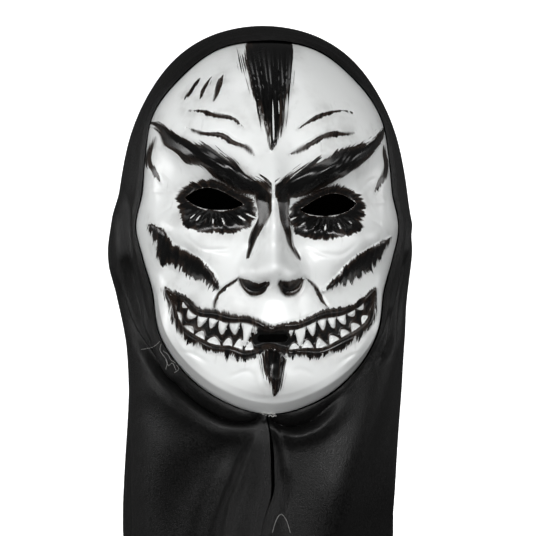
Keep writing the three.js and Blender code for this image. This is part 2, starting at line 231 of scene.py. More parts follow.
# Brush strokes: the halves of the face that have one, a line of places on its right half, and the half
# width at the line's start, middle and end. Bristle is the brush's lean from upright in degrees, tips the
# side of the line that the bristles ran out to, and lift how far the plastic is raised along it.
BOTH = (-1, 1)
LEFT = (-1,)
RIGHT = (1,)
UP = 1
DOWN = -1
SCRATCHES = 3
SCRATCH_PITCH = 7
STROKES = [
    dict(name="brow", sides=BOTH, line=[(4, -99), (17, -94), (35, -83), (53, -74), (67, -60)],
         half=(4.6, 7.2, 0.4), ragged=6, bristle=-48, tips=UP, lift=3.6),
    dict(name="low furrow", sides=BOTH, line=[(9, -79), (25, -70), (47, -64)],
         half=(0.2, 1.5, 0.1), ragged=1.6, bristle=0, tips=DOWN, lift=-1.3),
    dict(name="high furrow", sides=BOTH, line=[(15, -64), (30, -56), (46, -53)],
         half=(0.1, 1.2, 0.1), ragged=1.6, bristle=0, tips=DOWN, lift=-1.2),
    dict(name="nose side", sides=BOTH, line=[(5, -100), (7, -117), (14, -136)],
         half=(4.5, 2.4, 0.6), ragged=2.4, bristle=12, tips=UP, lift=-0.8),
    dict(name="nostril", sides=BOTH, line=[(4, -151), (10, -153), (17, -148)],
         half=(1.6, 4.2, 1.0), ragged=1.4, bristle=0, tips=UP, lift=-4.5),
    dict(name="cheek hollow", sides=BOTH, line=[(29, -153), (42, -144), (56, -135), (68, -121)],
         half=(0.4, 5.8, 0.6), ragged=7, bristle=10, tips=DOWN, lift=3.4),
    dict(name="laugh line", sides=BOTH, line=[(18, -147), (27, -155), (32, -165)],
         half=(0.2, 1.1, 0.1), ragged=1.4, bristle=0, tips=DOWN, lift=-1.4),
    dict(name="temple streak", sides=BOTH, line=[(60, -96), (67, -84), (66, -70)],
         half=(0.1, 1.7, 0.3), ragged=2.6, bristle=0, tips=DOWN, lift=-1.0),
    *(dict(name="scratch", sides=LEFT,
           line=[(26 + right, -33 - i), (30 + right, -40 - i), (33 + right, -48 + i)],
           half=(0.1, 1.3 - 0.2 * i, 0.1), ragged=2.2, bristle=20, tips=DOWN, lift=-0.9)
      for i, right in enumerate(range(0, SCRATCHES * SCRATCH_PITCH, SCRATCH_PITCH))),
]
# The ring of paint round each eye: its width, how much wider it is below, and the wrinkled bag in it.
RING_WIDTH = 4.6
RING_BELOW = 8.5
BAG_OUT = 5.5
BAG_HALF = 5
# The grin from its middle to a corner: half the height of its teeth and the width of its lips at the
# start, middle and end of that line. The lips are rolled out, the gap sunk in and the teeth raised in it.
GRIN_LINE = [(0, -180.4), (16, -180), (34, -176), (48, -168), (58, -155)]
GRIN_TEETH = (4.8, 6.8, 0.2)
GRIN_LIPS = (2.4, 4.6, 2.2)
GRIN_SINK = 2.6
LIP_ROLL = 2.3
TOOTH_RISE = 2.8
TOOTH_PITCH = 6.8
TOOTH_PHASE = 0.3
TOOTH_POINT = 1.8
TOOTH_GAP = 0.45
LOWER_TOOTH = 0.75
FANG = 2
FANG_LONG = 1.8
# Tufts of paint on the forehead and the chin: the heights of their tip and top, and half their width.
PEAK = dict(tip=-77, top=-6, half=19)
BEARD = dict(tip=-214, top=-187, half=9.5)
# Unpainted wrinkles on both sides of the face.
WRINKLES = [
    dict(name="temple", depth=0.7, line=[(60, -62), (69, -84), (66, -104), (71, -120)]),
    dict(name="high crow's foot", depth=0.8, line=[(50, -97), (58, -91), (67, -88)]),
    dict(name="middle crow's foot", depth=0.9, line=[(52, -102), (61, -101), (70, -103)]),
    dict(name="low crow's foot", depth=0.8, line=[(50, -108), (58, -112), (66, -118)]),
    dict(name="cheek", depth=0.8, line=[(17, -127), (28, -133), (41, -131), (52, -121)]),
    dict(name="smile", depth=0.9, line=[(38, -158), (47, -160), (55, -150)]),
    dict(name="jaw", depth=0.9, line=[(34, -196), (44, -190), (56, -187)]),
    dict(name="chin", depth=0.8, line=[(8, -202), (16, -198), (27, -202)]),
]
WRINKLE_HALF = 1.3
# Ribs along the bristles of the raised strokes: their height, and their turn for each millimetre across.
RIB_HEIGHT = 0.4
RIB_TURN = 1.5
# Depth inside the paint of a place that has none near it.
UNPAINTED = -60.0
# Shifts across the bristles that give each mark a grain of its own.
STROKE_SHIFT = 90
SIDE_SHIFT = 45
EYE_SHIFT = {-1: 320, 1: 480}
GRIN_SHIFT = 700
TUFT_SHIFT = 1000


def quadratic(values, t):
    start, middle, end = values
    return start * (1 - t) * (1 - 2 * t) + middle * 4 * t * (1 - t) + end * t * (2 * t - 1)


def wander(x, z):
    """A slow unevenness of hand work"""
    return 1.1 * np.sin(0.13 * x + 0.5) * np.sin(0.11 * z + 1.7) + 0.6 * np.sin(0.31 * x - 0.2 * z)


class Brush:
    """The paint at many places: their depth inside it, the bristles' course and how ragged its edge is"""

    def __init__(self, shape):
        self.edge = np.full(shape, UNPAINTED)
        self.across = np.zeros(shape)
        self.along = np.zeros(shape)
        self.ragged = np.ones(shape)

    def add(self, edge, across, along, ragged):
        wins = edge > self.edge
        self.edge = np.where(wins, edge, self.edge)
        self.across = np.where(wins, across, self.across)
        self.along = np.where(wins, along, self.along)
        self.ragged = np.where(wins, ragged, self.ragged)


def paint_strokes(brush, x, right, high):
    lift = np.zeros(x.shape)
    for number, stroke in enumerate(STROKES):
        off, share, length = beside(stroke["line"], right, high)
        half = quadratic(stroke["half"], share)
        edge = half - np.abs(off)
        edge = np.where(np.isin(np.sign(x), stroke["sides"]), edge, UNPAINTED)
        lean = math.radians(stroke["bristle"])
        shift = STROKE_SHIFT * number + SIDE_SHIFT * (x > 0)
        across = right * math.cos(lean) + high * math.sin(lean) + shift
        along = high * math.cos(lean) - right * math.sin(lean)
        ragged = stroke["ragged"] * np.where(off * stroke["tips"] > 0, 1, 0.4)
        brush.add(edge, across, along, ragged)
        risen = np.clip((edge + 1) / (half + 1), 0, 1)
        lift += stroke["lift"] * risen * (2 - risen)
        if stroke["lift"] > 0:
            lift += RIB_HEIGHT * np.sin(RIB_TURN * across + 0.8 * np.sin(0.3 * length)) * risen
    return lift


def paint_eyes(brush, x, z):
    lift = np.zeros(x.shape)
    for side in BOTH:
        ring = around(eye_outline(side), x, z)
        turn = np.arctan2(z - EYE["z"] + EYE_SKEW * side * EYE["x"], side * x - EYE["x"])
        below = ease(-np.sin(turn), -0.1, 0.9)
        wrinkle = np.sin(turn * 25 + 1.3 * np.sin(turn * 7 + side)) + 0.4 * np.sin(turn * 11 + 2 * side)
        bag = below * swell((ring - BAG_OUT) / BAG_HALF)
        # The paint is kept off the tops of the bag's wrinkles, as dry brushing leaves them white; these
        # white streaks also stand in as painted highlights along the ridges.
        edge = RING_WIDTH + RING_BELOW * below - ring - 10 * bag * ease(wrinkle, 0.35, 1.1)
        # Under each eye the paint stops short of the hole, leaving a thin white line along the lower lid: a
        # painted highlight where light would catch the cut edge of the plastic.
        lid_glint = below * (0.35 + 0.3 * np.sin(turn * 5 + side))
        edge = np.minimum(edge, 3 * (ring - lid_glint) + 0.3)
        brush.add(edge, 16 * turn + EYE_SHIFT[side], ring, 3.2)
        lift += 1.1 * wrinkle * bag + 0.9 * swell(ring / 3.5)
    return lift


def paint_grin(brush, x, right, high):
    off, share, length = beside(GRIN_LINE, right, high)
    half = quadratic(GRIN_TEETH, share)
    lip = quadratic(GRIN_LIPS, share)
    lips = half + lip - np.abs(off)
    grown = ease(length, 8.5, 10) * ease(share, 0.95, 0.8)
    count = length / TOOTH_PITCH + TOOTH_PHASE
    number = np.floor(count)
    upper = np.abs(2 * (count % 1) - 1)
    lower = np.abs(2 * ((count + 0.5) % 1) - 1)
    long = np.where(number == FANG, FANG_LONG, 1.05 + 0.15 * np.sin(2.3 * number + (x > 0)))
    upper_reach = half * long * grown * (1 - upper**TOOTH_POINT)
    lower_reach = half * LOWER_TOOTH * grown * (1 - lower**TOOTH_POINT)
    upper_tooth = np.minimum(off - half + upper_reach, half - off)
    lower_tooth = np.minimum(-off - half + lower_reach, half + off)
    tooth = np.maximum(upper_tooth, lower_tooth) - TOOTH_GAP
    edge = np.minimum(lips, -1.3 * tooth)
    ragged = np.where(-tooth < lips, 0.5, np.where(off < 0, 6, 2.4))
    brush.add(edge, right + GRIN_SHIFT + 2 * SIDE_SHIFT * (x > 0), high, ragged)
    rolled = LIP_ROLL * swell((np.abs(off) - half - 0.5 * lip) / (0.9 * lip))
    return rolled - GRIN_SINK * ease(half - np.abs(off), -1, 3) + TOOTH_RISE * ease(tooth, -0.8, 2.4)


def paint_tufts(brush, x, right, high):
    lift = np.zeros(x.shape)
    for tuft in (PEAK, BEARD):
        share = (tuft["top"] - high) / (tuft["top"] - tuft["tip"])
        half = tuft["half"] * np.clip(1 - share, 0, 1) ** 0.8 * ease(share, -0.3, 0.3)
        edge = np.where((share > 0) & (share < 1), half - right, -np.abs(share - 0.5) * 20 - right)
        fan = x / (1.25 - 0.75 * np.clip(share, 0, 1))
        brush.add(edge, fan * 1.2 + TUFT_SHIFT, 0.6 * high, 6 * ease(share, 1.02, 0.85) + 0.2)
        strands = 1.6 + 0.9 * np.sin(fan * 1.3 + 0.05 * high) + 0.3 * np.sin(fan * 3.1 + 1)
        lift += strands * ease(edge, -1.5, 2.5)
    return lift


def painted(x, z):
    """The paint at places on the face, and how far its strokes raise the plastic"""
    high = skewed(x, z) + wander(x, z)
    right = np.abs(x + wander(z, x))
    brush = Brush(x.shape)
    lift = paint_strokes(brush, x, right, high)
    lift += paint_eyes(brush, x, z)
    lift += paint_grin(brush, x, right, high)
    lift += paint_tufts(brush, x, right, high)
    for wrinkle in WRINKLES:
        off, share, _ = beside(wrinkle["line"], right, high)
        lift -= wrinkle["depth"] * np.exp(-((off / WRINKLE_HALF) ** 2)) * swell(2 * share - 1)
    return brush, lift


# Below the jaw the front ends in a crease, and a flat flange of this width by turn leads from it to the
# rim. It comes in between two turns, and the forms fade towards the rim and towards the crease.
FLANGE_TURN = np.radians([110, 130, 150, 180])
FLANGE_WIDTH = [1.5, 3, 5, 6.5]
FLANGE_ROUND = 2.0
FLANGE_FROM = np.radians([112, 140])
FRONT_FULLNESS = 0.8
RIM_FADE = 8
CREASE_FADE = (-0.01, 0.05)
flange_width = smooth_curve(FLANGE_TURN, FLANGE_WIDTH, level_ends=True)


def face_base(x, z):
    """How far forward the face stands without its forms, and how much of a form shows there"""
    share, turn = rim_share(x, z)
    share = np.minimum(share, 1)
    turn = np.abs(turn)
    reach = outline_reach(turn)
    rim = hood_edge_forward(reach * np.sin(turn), FACE_MIDDLE + reach * np.cos(turn)) - RIM_TUCK
    stand = profile_forward(z) - rim
    domed = rim + stand * np.sqrt(1 - share**SIDE_FULLNESS)
    front = rim + stand * np.sqrt(1 - (FRONT_FULLNESS * share) ** SIDE_FULLNESS)
    crease = 1 - flange_width(turn) / reach
    at_crease = stand * np.sqrt(1 - (FRONT_FULLNESS * crease) ** SIDE_FULLNESS)
    flange = rim + at_crease * (1 - share) / (1 - crease)
    apart = front - flange
    creased = (front + flange - np.sqrt(apart * apart + FLANGE_ROUND**2)) / 2
    below_jaw = ease(turn, *FLANGE_FROM)
    shown = (1 - share**RIM_FADE) * (1 - below_jaw) + ease(crease - share, *CREASE_FADE) * below_jaw
    return domed + (creased - domed) * below_jaw, shown


def face_forward(x, z):
    """How far forward the face stands"""
    base, shown = face_base(x, z)
    high = skewed(x, z)
    forms = np.zeros(x.shape)
    for form in FACE_FORMS:
        lean = math.radians(form["lean"])
        for side in RIGHT if form["x"] == 0 else BOTH:
            right = side * x - form["x"]
            up = high - form["z"]
            along = (right * math.cos(lean) + up * math.sin(lean)) / form["wide"]
            over = (up * math.cos(lean) - right * math.sin(lean)) / form["high"]
            forms += form["lift"] * np.exp(-along * along - over * over)
    forms += painted(x, z)[1]
    return base + forms * shown


def new_piece(name, points, faces):
    mesh = bpy.data.meshes.new(name)
    mesh.from_pydata((np.asarray(points) * MM).tolist(), [], faces)
    mesh.validate()
    piece = bpy.data.objects.new(name, mesh)
    bpy.context.collection.objects.link(piece)
    return piece


def closing_strip(outer_edge, inner_edge):
    """Faces between an outer edge and an inner one that has half as many points"""
    first = outer_edge[0::2]
    corners = [first, inner_edge, np.roll(inner_edge, -1), np.roll(first, -1), outer_edge[1::2]]
    return np.stack(corners, axis=1)


def grid_quads(cells):
    side = cells + 1
    corner = (np.arange(cells)[:, None] * side + np.arange(cells)).ravel()
    return np.stack([corner, corner + 1, corner + side + 1, corner + side], axis=1)


def grid_edge(cells):
    side = cells + 1
    run = np.arange(cells)
    return np.concatenate([run, cells + run * side, side * side - 1 - run, (cells - run) * side])


def unit(vectors):
    return vectors / np.linalg.norm(vectors, axis=-1)[..., None]


def front_prism(outlines, near, far):
    """Closed prisms on outlines drawn from the front, between two forward distances"""
    points = []
    faces = []
    for outline in outlines:
        outline = np.asarray(outline)
        turned = np.roll(outline, -1, axis=0)
        if np.sum(outline[:, 0] * turned[:, 1] - turned[:, 0] * outline[:, 1]) < 0:
            outline = outline[::-1]
        count = len(outline)
        first = len(points)
        for forward in (near, far):
            points += [(x, -forward, z) for x, z in outline]
        faces.append([first + i for i in reversed(range(count))])
        faces.append([first + count + i for i in range(count)])
        for i in range(count):
            j = (i + 1) % count
            faces.append([first + i, first + j, first + count + j, first + count + i])
    return new_piece("cutter", points, faces)


def settle(piece):
    """Turn a piece's modifiers into its plain mesh"""
    graph = bpy.context.evaluated_depsgraph_get()
    mesh = bpy.data.meshes.new_from_object(piece.evaluated_get(graph))
    mesh.name = piece.name
    piece.modifiers.clear()
    piece.data = mesh


def cut(piece, *cutters):
    for cutter in cutters:
        modifier = piece.modifiers.new("cut", "BOOLEAN")
        modifier.operation = "DIFFERENCE"
        modifier.solver = "MANIFOLD"
        modifier.object = cutter
    settle(piece)
    for cutter in cutters:
        bpy.data.objects.remove(cutter)


def points_of(mesh):
    points = np.empty(3 * len(mesh.vertices))
    mesh.vertices.foreach_get("co", points)
    return points.reshape(-1, 3) / MM


def add_attribute(mesh, name, kind, values):
    field = "vector" if kind == "FLOAT_VECTOR" else "value"
    attribute = mesh.attributes.new(name, kind, "POINT")
    attribute.data.foreach_set(field, np.ascontiguousarray(values, np.float32).ravel())


steps = np.linspace(-1, 1, FACE_GRID + 1)
grid_right, grid_up = np.meshgrid(steps, steps)
disc_right = grid_right * np.sqrt(1 - grid_up**2 / 2)
disc_up = grid_up * np.sqrt(1 - grid_right**2 / 2)
disc_turn = np.arctan2(disc_right, disc_up)
disc_even = np.minimum(np.hypot(disc_right, disc_up), 1)
disc_share = (1 - RIM_DENSITY) * disc_even + RIM_DENSITY * np.sin(disc_even * np.pi / 2)
disc_reach = disc_share * outline_reach(np.abs(disc_turn))
face_x = disc_reach * np.sin(disc_turn)
face_z = FACE_MIDDLE + disc_reach * np.cos(disc_turn)
face_outer = np.stack([face_x, -face_forward(face_x, face_z), face_z], axis=2)
face_inward = unit(np.cross(np.gradient(face_outer, axis=0), np.gradient(face_outer, axis=1)))
face_inner = (face_outer + PLASTIC_WALL * face_inward)[::2, ::2]
outer_count = (FACE_GRID + 1) ** 2
inner_quads = outer_count + grid_quads(FACE_GRID // 2)[:, ::-1]
face_strip = closing_strip(grid_edge(FACE_GRID), outer_count + grid_edge(FACE_GRID // 2))
face_faces = [*grid_quads(FACE_GRID).tolist(), *inner_quads.tolist(), *face_strip.tolist()]
face_points = np.concatenate([face_outer.reshape(-1, 3), face_inner.reshape(-1, 3)])
face = new_piece("painted_face", face_points, face_faces)
cut(face, front_prism([eye_outline(-1), eye_outline(1), mouth_outline()], near=60, far=150))

skin = points_of(face.data)
brush, _ = painted(skin[:, 0], skin[:, 2])
is_inner = skin[:, 1] + face_forward(skin[:, 0], skin[:, 2]) > 0.4 * PLASTIC_WALL
depth_and_course = [np.where(is_inner, UNPAINTED, brush.edge), brush.across, brush.along]
add_attribute(face.data, "brush", "FLOAT_VECTOR", np.stack(depth_and_course, axis=1))
add_attribute(face.data, "ragged", "FLOAT", brush.ragged)
face.data.shade_smooth()
face.data.set_sharp_from_angle(angle=FACE_SHARP)

PLASTIC_WHITE = (0.80, 0.815, 0.81, 1)
PLASTIC_SMUDGED = (0.40, 0.40, 0.39, 1)
PAINT_BLACK = (0.004, 0.004, 0.004, 1)
PAINT_THIN = (0.026, 0.018, 0.014, 1)


class Wiring:
    """Nodes of one tree, added one by one and joined as they are made"""

    def __init__(self, tree):
        self.tree = tree

    def add(self, kind, inputs=None, **settings):
        node = self.tree.nodes.new(kind)
        for name, value in settings.items():
            setattr(node, name, value)
        for name, value in (inputs or {}).items():
            self.join(value, node.inputs[name])
        return node

    def join(self, value, socket):
        if isinstance(value, bpy.types.NodeSocket):
            self.tree.links.new(value, socket)
        else:
            socket.default_value = value

    def maths(self, operation, *values):
        return self.add("ShaderNodeMath", dict(enumerate(values)), operation=operation).outputs[0]


class Finish(Wiring):
    """The look of one material"""

    def __init__(self, name):
        self.material = bpy.data.materials.new(name)
        self.material.use_nodes = True
        super().__init__(self.material.node_tree)

    def place(self):
        return self.add("ShaderNodeTexCoord").outputs["Object"]

    def attribute(self, name, output="Fac"):
        return self.add("ShaderNodeAttribute", attribute_name=name).outputs[output]

    def ramp(self, value, low, high, start=0.0, end=1.0):
        inputs = {"Value": value, "From Min": low, "From Max": high, "To Min": start, "To Max": end}
        return self.add("ShaderNodeMapRange", inputs, interpolation_type="SMOOTHSTEP").outputs[0]

    def noise(self, place, scale, detail=2.0, rough=0.5):
        inputs = {"Vector": place, "Scale": scale, "Detail": detail, "Roughness": rough}
        return self.add("ShaderNodeTexNoise", inputs).outputs["Fac"]

    def mix(self, share, first, second):
        return self.add("ShaderNodeMix", {0: share, 6: first, 7: second}, data_type="RGBA").outputs[2]

    def stretch(self, place, scale):
        return self.add("ShaderNodeMapping", {"Vector": place, "Scale": scale}).outputs[0]

    def bump(self, height, strength, distance):
        inputs = {"Height": height, "Strength": strength, "Distance": distance}
        return self.add("ShaderNodeBump", inputs).outputs[0]

    def done(self, sockets):
        for name, value in sockets.items():
            self.join(value, self.tree.nodes["Principled BSDF"].inputs[name])
        return self.material


def painted_plastic():
    wires = Finish("painted_plastic")
    place = wires.place()
    brush = wires.attribute("brush", "Vector")
    edge, across, along = wires.add("ShaderNodeSeparateXYZ", {"Vector": brush}).outputs
    ragged_here = wires.attribute("ragged")
    course = wires.add("ShaderNodeCombineXYZ", {"X": across, "Y": along}).outputs[0]
    clumps = wires.noise(wires.stretch(course, (0.30, 0.03, 1)), 1.0)
    bristles = wires.noise(wires.stretch(course, (1.0, 0.05, 1)), 1.0, 3, 0.6)
    hairs = wires.noise(wires.stretch(course, (3.0, 0.16, 1)), 1.0)
    stray = wires.maths("MULTIPLY_ADD", clumps, 0.9, wires.maths("MULTIPLY_ADD", bristles, 0.8, -1.02))
    stray = wires.maths("MULTIPLY_ADD", hairs, 0.35, stray)
    reach = wires.maths("MULTIPLY_ADD", wires.maths("MULTIPLY", stray, ragged_here), 1.7, edge)
    soft = wires.ramp(wires.noise(place, 70), 0.48, 0.68, 0.15, 1.3)
    cover = wires.ramp(reach, wires.maths("MULTIPLY", soft, -1), wires.maths("MULTIPLY", soft, 0.6))
    depth = wires.ramp(wires.maths("MULTIPLY_ADD", stray, 6.0, reach), 0.1, 3.0)
    paint = wires.mix(depth, PAINT_THIN, PAINT_BLACK)
    smudge = wires.ramp(wires.noise(wires.stretch(place, (1, 1, 0.6)), 38, 4, 0.6), 0.54, 0.80, 0, 0.2)
    wiped = wires.ramp(wires.noise(wires.stretch(place, (1, 1, 0.1)), 300), 0.64, 0.74, 0, 0.22)
    near = wires.ramp(edge, -10, 0)
    haze = wires.maths("MULTIPLY", near, wires.ramp(wires.noise(place, 60, 3, 0.6), 0.42, 0.75, 0, 0.5))
    dirt = wires.maths("ADD", smudge, wires.maths("MULTIPLY", wiped, near))
    white = wires.mix(wires.maths("ADD", dirt, haze), PLASTIC_WHITE, PLASTIC_SMUDGED)
    colour = wires.mix(cover, white, paint)
    peel = wires.noise(place, 210)
    ripple = wires.noise(place, 45)
    height = wires.maths("MULTIPLY_ADD", peel, 0.03, wires.maths("MULTIPLY", ripple, 0.3))
    coat = wires.maths("MULTIPLY", cover, wires.maths("MULTIPLY_ADD", bristles, 0.05, 0.12))
    height = wires.maths("ADD", height, coat)
    bump = wires.bump(height, 0.6, 0.001)
    worn = wires.ramp(wires.noise(place, 90, 3, 0.6), 0.3, 0.7, -0.04, 0.04)
    rough = wires.maths("ADD", worn, wires.ramp(cover, 0, 1, 0.23, 0.25))
    return wires.done({"Base Color": colour, "Roughness": rough, "Normal": bump})


face.data.materials.clear()
face.data.materials.append(painted_plastic())
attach(face, "root")
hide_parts("face_shell")


# The hood
# One piece of black satin, shaped over the crown and closed behind, open for the face and for the neck.
# Its two turned front edges part a little below the chin, and the left one laps over the right at the hem.
HOOD_TURNS = 360
HOOD_ROWS = 250
HOOD_DROP = 345
HOOD_SHARP = math.radians(60)
# The mesh is finest over the folds at the chin: gaps between its rows by drop, and its columns by turn.
GAP_DROP = [0, 20, 60, 195, 208, 246, 265, 345]
ROW_GAP = [0.05, 1.2, 1.7, 1.5, 0.85, 0.85, 2.0, 2.4]
GAP_TURN = np.radians([0, 30, 50, 100, 130, 180])
COLUMN_GAP = [0.6, 0.7, 0.75, 0.85, 2.2, 2.6]
HEM_WAVE = 2.5
HEM_WAVE_FROM = 250
SEAT_GAP = 0.3

# The slit below the chin, by height, and how far its edges lap over or, below 0, part. The left edge is
# drawn out and the right one in, each fading away from the slit.
SLIT_WIDTH = 0.9
SLIT_HEIGHT = [-350, -300, -287, -278, -270, -254, -240, -231, -224]
SLIT_RIGHT = [-8, -6.2, -4.7, -2.3, 0.4, 1, 0.3, -1, -2.6]
LAP_HEIGHT = [-350, -312, -295, -275, -264, -242, -228]
LAP_OVER = [2.6, 2.2, 0.4, 0.1, -0.7, -0.7, 0]
LAP_REACH = 14
LAP_OUT = 1.4
LAP_OUT_FADE = (-16, -5)
LAP_IN = 1.8
LAP_IN_FADE = (12, 4)
LAP_DROP = (226, 242)
LAP_FORWARD = (20, 40)

# Falls and bulges by turn from the front towards +X in degrees, with the stretch of drop that each runs
# along and the degrees that it leans round in 100 mm of drop.
FALLS = [
    dict(name="left cheek bulge", turn=-96, wide=20, start=95, end=190, lift=3, lean=0),
    dict(name="right cheek dent", turn=92, wide=14, start=85, end=215, lift=-2, lean=0),
    dict(name="right jaw bulge", turn=86, wide=15, start=140, end=258, lift=2.4, lean=0),
    dict(name="right skirt", turn=82, wide=20, start=225, end=460, lift=-7.5, lean=0),
    dict(name="front left fall", turn=-34, wide=15, start=225, end=420, lift=2, lean=0),
    dict(name="front right fall", turn=30, wide=15, start=225, end=420, lift=2, lean=0),
    dict(name="left side fall", turn=-92, wide=13, start=210, end=440, lift=-4, lean=0),
    dict(name="right side fall", turn=96, wide=13, start=210, end=440, lift=-4, lean=0),
    dict(name="left ear sweep", turn=-112, wide=8, start=40, end=230, lift=-3, lean=-9),
    dict(name="right ear sweep", turn=114, wide=8, start=50, end=240, lift=-3, lean=10),
    dict(name="left neck fold", turn=-112, wide=6, start=170, end=430, lift=7, lean=-4),
    dict(name="right neck fold", turn=116, wide=6, start=180, end=430, lift=7, lean=3),
    dict(name="left neck crease", turn=-108, wide=6, start=120, end=300, lift=-4, lean=-16),
    dict(name="right neck crease", turn=110, wide=6, start=130, end=310, lift=-4, lean=15),
    dict(name="left back fall", turn=-142, wide=9, start=170, end=440, lift=9, lean=2),
    dict(name="right back fall", turn=140, wide=8, start=185, end=440, lift=9, lean=-3),
    dict(name="left nape fall", turn=-166, wide=6, start=195, end=440, lift=5, lean=3),
    dict(name="right nape fall", turn=164, wide=7, start=180, end=440, lift=6, lean=2),
    dict(name="nape", turn=180, wide=14, start=170, end=440, lift=-6, lean=1),
    dict(name="left head fold", turn=-128, wide=9, start=50, end=240, lift=1.8, lean=-16),
    dict(name="right head fold", turn=132, wide=9, start=60, end=230, lift=1.8, lean=18),
]

# The rolled hem along the opening: how far it stands out, and its middle and half width from the edge.
HEM_ROLL = 0.8
HEM_ROLL_OUT = 2.6
HEM_ROLL_HALF = 3.4

# Folds of the front, drawn from the front: a line of places, its half width at start and end, its lift,
# how far the cloth on the face's side of it hangs over, the shares of its length between which it is at
# its full lift, and how many times wider it is on the face's side. They fade out towards the back.
FOLD_FADE = (0.2, 0.72)
FOLD_FORWARD = (-22, 6)
FOLDS = [
    dict(name="left rim crease", half=(1.4, 2.4), lift=-4.4, over=1.9, fade=(0.2, 0.85),
         line=[(-46, -208), (-53, -205), (-59.5, -200), (-65, -191), (-70, -180), (-74, -170), (-79, -152),
               (-82, -132)]),
    dict(name="left main crease", half=(2, 2.8), lift=-6, over=2.6, fade=(0.05, 0.85), slope=1.3,
         line=[(-4, -223.5), (-13, -227), (-24, -226.5), (-36, -221), (-48, -212.5), (-62, -200),
               (-74, -183), (-81, -167), (-89, -140)]),
    dict(name="left lip", half=(1.6, 2), lift=0.3, fade=(0.3, 0.5),
         line=[(-6, -228.5), (-14, -231), (-25, -230.5), (-38, -225), (-51, -216), (-65, -203),
               (-77, -186)]),
    dict(name="left bulge", half=(6, 7), lift=0.5,
         line=[(-50, -221), (-62, -213), (-73, -202)]),
    dict(name="left dimple", half=(7, 8), lift=-0.8,
         line=[(-40, -235), (-54, -233), (-66, -225), (-74, -214)]),
    dict(name="left pocket", half=(2.6, 3.4), lift=2,
         line=[(-84, -96), (-86, -118), (-83, -144), (-77, -170), (-68, -190)]),
    dict(name="left pocket valley", half=(2.4, 3.4), lift=-2.6,
         line=[(-80, -92), (-81, -112), (-79, -136), (-75, -156), (-70, -178)]),
    dict(name="left tack roll", half=(4, 4), lift=1.3, fade=(0.3, 0.5),
         line=[(-4, -231), (-14, -235), (-26, -234.5), (-40, -228.5), (-53, -220), (-67, -207),
               (-78, -191)]),
    dict(name="left hollow", half=(5, 22), lift=-4,
         line=[(-10, -232), (-26, -243), (-42, -256), (-52, -272), (-58, -300), (-60, -350)]),
    dict(name="left flap shade", half=(3.5, 10), lift=-2.6,
         line=[(-10, -232), (-19, -247), (-25.5, -262), (-33, -280), (-38, -305), (-42, -350)]),
    dict(name="left flap edge", half=(2, 6), lift=1.5,
         line=[(-4, -227), (-12, -243), (-17, -256), (-23, -272), (-27, -295), (-31, -350)]),
    dict(name="chin crease", half=(2.5, 2), lift=-7.5, over=2.4, fade=(0.1, 0.3), slope=1.7,
         line=[(-2, -223.5), (4.5, -228.5), (13, -230), (22, -227.8), (29, -223), (35.5, -216.5),
               (44, -206)]),
    dict(name="chin lip", half=(1.5, 1.5), lift=0.7, fade=(0.2, 0.45),
         line=[(1, -231), (8, -234.5), (16, -235), (25, -231.8), (32.5, -226.4), (40, -219), (48, -209)]),
    dict(name="chin roll", half=(4.5, 4), lift=2.4, fade=(0.2, 0.4),
         line=[(2, -232), (8, -236), (16, -236.5), (26, -233.2), (34, -227.4), (42, -219.6),
               (50, -209.5)]),
    dict(name="right band", half=(8, 13), lift=5,
         line=[(76, -160), (70, -182), (63, -202), (56, -222), (47, -242), (38, -264), (28, -300)]),
    dict(name="right rim crease", half=(1.2, 2), lift=-2.8, over=1.2, fade=(0.5, 0.85),
         line=[(36, -215), (46, -206), (55, -194.5), (64, -179.5), (71, -162)]),
    dict(name="right second crease", half=(1.4, 2.3), lift=-4, over=1.8, fade=(0.2, 0.85),
         line=[(57, -199), (64, -188), (71, -172), (77, -152), (81, -130)]),
    dict(name="right third crease", half=(1.6, 2.4), lift=-3, over=1.2, fade=(0.2, 0.85),
         line=[(68, -188), (74, -174), (79, -157), (83, -138), (86, -115)]),
    dict(name="right pocket", half=(2.4, 3.2), lift=1.6,
         line=[(82, -106), (84, -122), (81, -146), (75, -170), (69, -188)]),
    dict(name="right flap edge", half=(1.6, 3), lift=1.4,
         line=[(0, -226), (3, -233), (5, -240), (7, -248), (8, -262)]),
]

# Right of this crest the cloth is drawn back in a flat plane to the side of the neck.
CREST_HEIGHT = [-350, -310, -288, -276, -260, -251, -234, -218, -204, -190]
CREST_RIGHT = [20, 31, 39, 45, 51, 54, 59, 63, 66, 69]
PLANE_SLOPE = 1.5
PLANE_ROUND = 5
PLANE_DROP = (195, 235)
slit_x = smooth_curve(SLIT_HEIGHT, SLIT_RIGHT)
crest_x = smooth_curve(CREST_HEIGHT, CREST_RIGHT)


def hood_place(turn, root):
    """Points of the hood's outer face before its front folds"""
    half = np.maximum(section_half(root), 1e-6)
    depth = np.maximum(np.where(np.cos(turn) > 0, section_front(root), section_back(root)), 1e-6)
    square = section_square(root)
    sideways = np.abs(np.sin(turn) / half) ** square
    forward = np.abs(np.cos(turn) / depth) ** square
    reach = (sideways + forward) ** (-1 / square)
    drop = root * root
    for fall in FALLS:
        leaning = math.radians(1) * (fall["turn"] + fall["lean"] * (drop - fall["start"]) / 100)
        away = (turn - leaning + math.pi) % (2 * math.pi) - math.pi
        middle = (fall["start"] + fall["end"]) / 2
        along = swell((drop - middle) / (fall["end"] - middle))
        reach = reach + fall["lift"] * swell(away / math.radians(2 * fall["wide"])) * along
    uneven = 1 + np.sin(3 * turn + 0.6) * np.sin(2 * turn)
    wave = HEM_WAVE * uneven * ease(drop, HEM_WAVE_FROM, HOOD_DROP) * ease(turn * turn, 0, 1)
    return np.stack([reach * np.sin(turn), -reach * np.cos(turn), HOOD_WALL - drop + wave], axis=-1)


